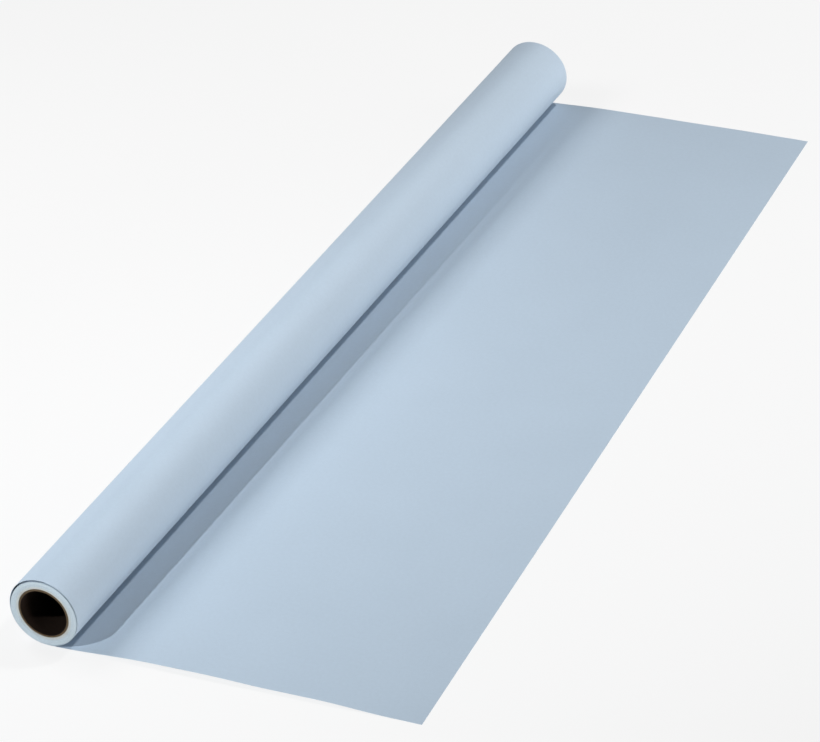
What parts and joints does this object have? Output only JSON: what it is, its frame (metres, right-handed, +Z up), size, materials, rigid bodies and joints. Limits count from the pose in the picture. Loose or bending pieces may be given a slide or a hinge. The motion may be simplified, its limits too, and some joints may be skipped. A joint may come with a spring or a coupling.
{
  "type": "backdrop paper roll",
  "caption": "Seamless background paper wound on a paperboard core tube, lying on the floor with its free end rolled out flat.",
  "frame": {"origin": "on the axis of the core bore, half way along the roll", "axes": "+Y along the roll, +X the way the free sheet runs out over the floor, +Z up"},
  "size_m": [0.5241, 1.35, 0.0885],
  "materials": {
    "backdrop_paper": "matt, uncoated, pale sky blue",
    "core_liner_board": "matt very dark brown liner",
    "core_board": "matt grey-brown core board",
    "tape": "semi-matt paper tape"
  },
  "bodies": {
    "sheet": {"free_sheet": "backdrop_paper"},
    "lap": {"outer_turn": "backdrop_paper"},
    "roll": {"core_liner": "core_liner_board", "core_body_ply_1": "core_board", "core_body_ply_2": "core_board", "core_body_ply_3": "core_board", "core_outer_wrap": "core_board", "start_tape": "tape", "paper_winding": "backdrop_paper"}
  },
  "joints": [
    {"name": "roll_travel", "type": "slide", "parent": "sheet", "child": "lap", "axis": [1, 0, 0], "range_m": [-1, 0.25]},
    {"name": "roll_turn", "type": "hinge", "parent": "lap", "child": "roll", "pos_m": [0, 0, 0], "axis": [0, 1, 0], "range_deg": [-1300, 330]}
  ],
  "couplings": [
    {"joint": "roll_turn", "follows": "roll_travel", "rad_per_m": 22.65}
  ]
}
